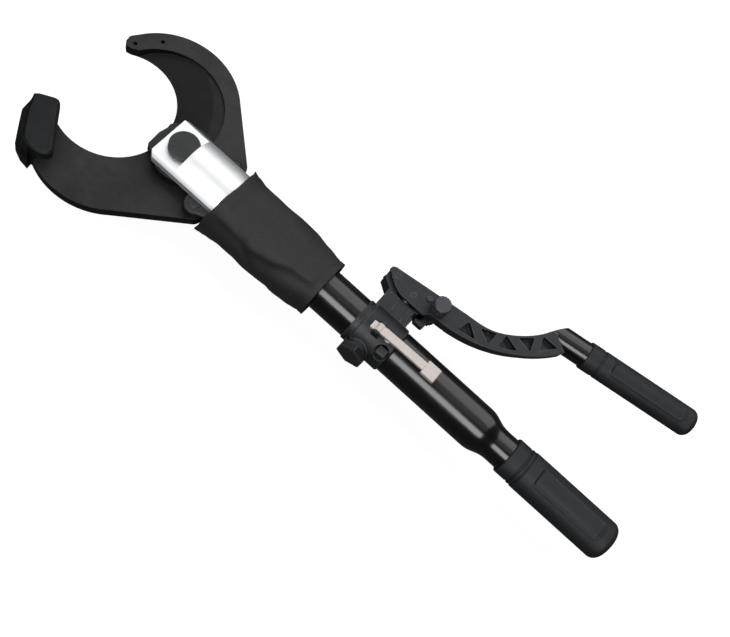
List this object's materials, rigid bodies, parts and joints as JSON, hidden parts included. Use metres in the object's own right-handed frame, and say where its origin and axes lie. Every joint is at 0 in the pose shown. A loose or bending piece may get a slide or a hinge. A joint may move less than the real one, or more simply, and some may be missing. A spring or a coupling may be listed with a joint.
{
  "type": "rescue cutter",
  "caption": "Hand-pumped hydraulic cutter: a long barrel with a fixed grip, a swinging pump handle beside it, and a steel yoke with curved scissor jaws.",
  "frame": {"origin": "centre of the jaws' pivot pin at its rear face, where the spanner nut ends flush", "axes": "+X back along the barrel to the grips, +Y toward the swinging pump handle, +Z along the pivot pin toward the front"},
  "size_m": [0.6896, 0.2848, 0.0806],
  "materials": {
    "jaw_steel": "matt",
    "yoke_steel": "brushed",
    "pin_steel": "satin",
    "link_steel": "satin",
    "inner_steel": "ground",
    "cylinder_black": "gloss",
    "block_black": "satin",
    "screw_black": "satin",
    "lever_cream": "satin",
    "grip_rubber": "matt",
    "sleeve_rubber": "matt",
    "seal_rubber": "matt",
    "knob_grey": "satin"
  },
  "bodies": {
    "frame": {"yoke": "yoke_steel", "pivot_pin": "pin_steel", "pivot_nut": "pin_steel", "protective_sleeve": "sleeve_rubber", "sleeve_band": "seal_rubber", "front_tube": "cylinder_black", "rod_gland": "inner_steel", "rod_seal": "seal_rubber", "return_spring": "inner_steel", "pump_block": "block_black", "valve_cap": "screw_black", "valve_ball": "inner_steel", "valve_spring": "inner_steel", "relief_plug": "screw_black", "lever_pin": "pin_steel", "release_spring": "inner_steel", "fulcrum_pin": "pin_steel", "reservoir_barrel": "cylinder_black", "oil_bladder": "seal_rubber", "filler_plug": "inner_steel", "fixed_grip": "grip_rubber"},
    "upper_blade": {"upper_jaw": "jaw_steel", "upper_heel_pin": "pin_steel"},
    "lower_blade": {"lower_jaw": "jaw_steel", "tip_guide": "jaw_steel", "guide_screws": "screw_black", "lower_heel_pin": "pin_steel"},
    "upper_arm": {"upper_link": "link_steel"},
    "lower_arm": {"lower_link": "link_steel"},
    "ram": {"crosshead": "inner_steel", "crosshead_pin": "inner_steel", "ram_rod": "inner_steel", "piston": "inner_steel", "piston_seal": "seal_rubber"},
    "pump_handle": {"handle_arm": "block_black", "handle_tube": "cylinder_black", "tube_plug": "block_black", "handle_grip": "grip_rubber", "plunger_pin": "pin_steel", "lock_screw": "screw_black"},
    "latch": {"latch_knob": "knob_grey", "latch_hook": "screw_black", "latch_screw": "screw_black"},
    "pump_plunger": {"plunger": "inner_steel", "plunger_seal": "seal_rubber"},
    "lever": {"release_lever": "lever_cream"},
    "lever_plunger": {"release_pin": "inner_steel"}
  },
  "joints": [
    {"name": "upper_jaw_swing", "type": "hinge", "parent": "frame", "child": "upper_blade", "pos_m": [0, 0, 0.03], "axis": [0, 0, 1], "range_deg": [0, 45]},
    {"name": "lower_jaw_swing", "type": "hinge", "parent": "frame", "child": "lower_blade", "pos_m": [0, 0, 0.03], "axis": [0, 0, -1], "range_deg": [0, 45.3]},
    {"name": "ram_slide", "type": "slide", "parent": "frame", "child": "ram", "axis": [-1, 0, 0], "range_m": [0, 0.04465], "deforming": ["return_spring"]},
    {"name": "upper_link_hinge", "type": "hinge", "parent": "upper_blade", "child": "upper_arm", "pos_m": [0.042, 0.028, 0.03], "axis": [0, 0, 1], "range_deg": [-66.38, 0]},
    {"name": "lower_link_hinge", "type": "hinge", "parent": "lower_blade", "child": "lower_arm", "pos_m": [0.042, -0.028, 0.03], "axis": [0, 0, -1], "range_deg": [-66.38, 0]},
    {"name": "handle_swing", "type": "hinge", "parent": "frame", "child": "pump_handle", "pos_m": [0.228, 0.0585, 0.03], "axis": [0, 0, 1], "range_deg": [0, 42]},
    {"name": "latch_turn", "type": "hinge", "parent": "pump_handle", "child": "latch", "pos_m": [0.2795, 0.06, 0.03], "axis": [0, 0, 1], "range_deg": [-5, 35]},
    {"name": "plunger_slide", "type": "slide", "parent": "frame", "child": "pump_plunger", "axis": [0, 1, 0], "range_m": [0, 0.0174]},
    {"name": "lever_press", "type": "hinge", "parent": "frame", "child": "lever", "pos_m": [0.249, -0.0054, 0.0594], "axis": [0, 1, 0], "range_deg": [0, 5], "stiffness_Nm_per_rad": 0.8, "springref_deg": -6.88},
    {"name": "release_slide", "type": "slide", "parent": "frame", "child": "lever_plunger", "axis": [0, 0, -1], "range_m": [0, 0.0012], "deforming": ["release_spring"]}
  ],
  "couplings": [
    {"joint": "lower_jaw_swing", "follows": "upper_jaw_swing", "ratio": 1},
    {"joint": "ram_slide", "follows": "upper_jaw_swing", "m_per_rad": 0.05656},
    {"joint": "upper_link_hinge", "follows": "upper_jaw_swing", "ratio": -1.4663},
    {"joint": "lower_link_hinge", "follows": "upper_jaw_swing", "ratio": -1.4663},
    {"joint": "plunger_slide", "follows": "handle_swing", "m_per_rad": 0.0235},
    {"joint": "release_slide", "follows": "lever_press", "m_per_rad": 0.013}
  ]
}
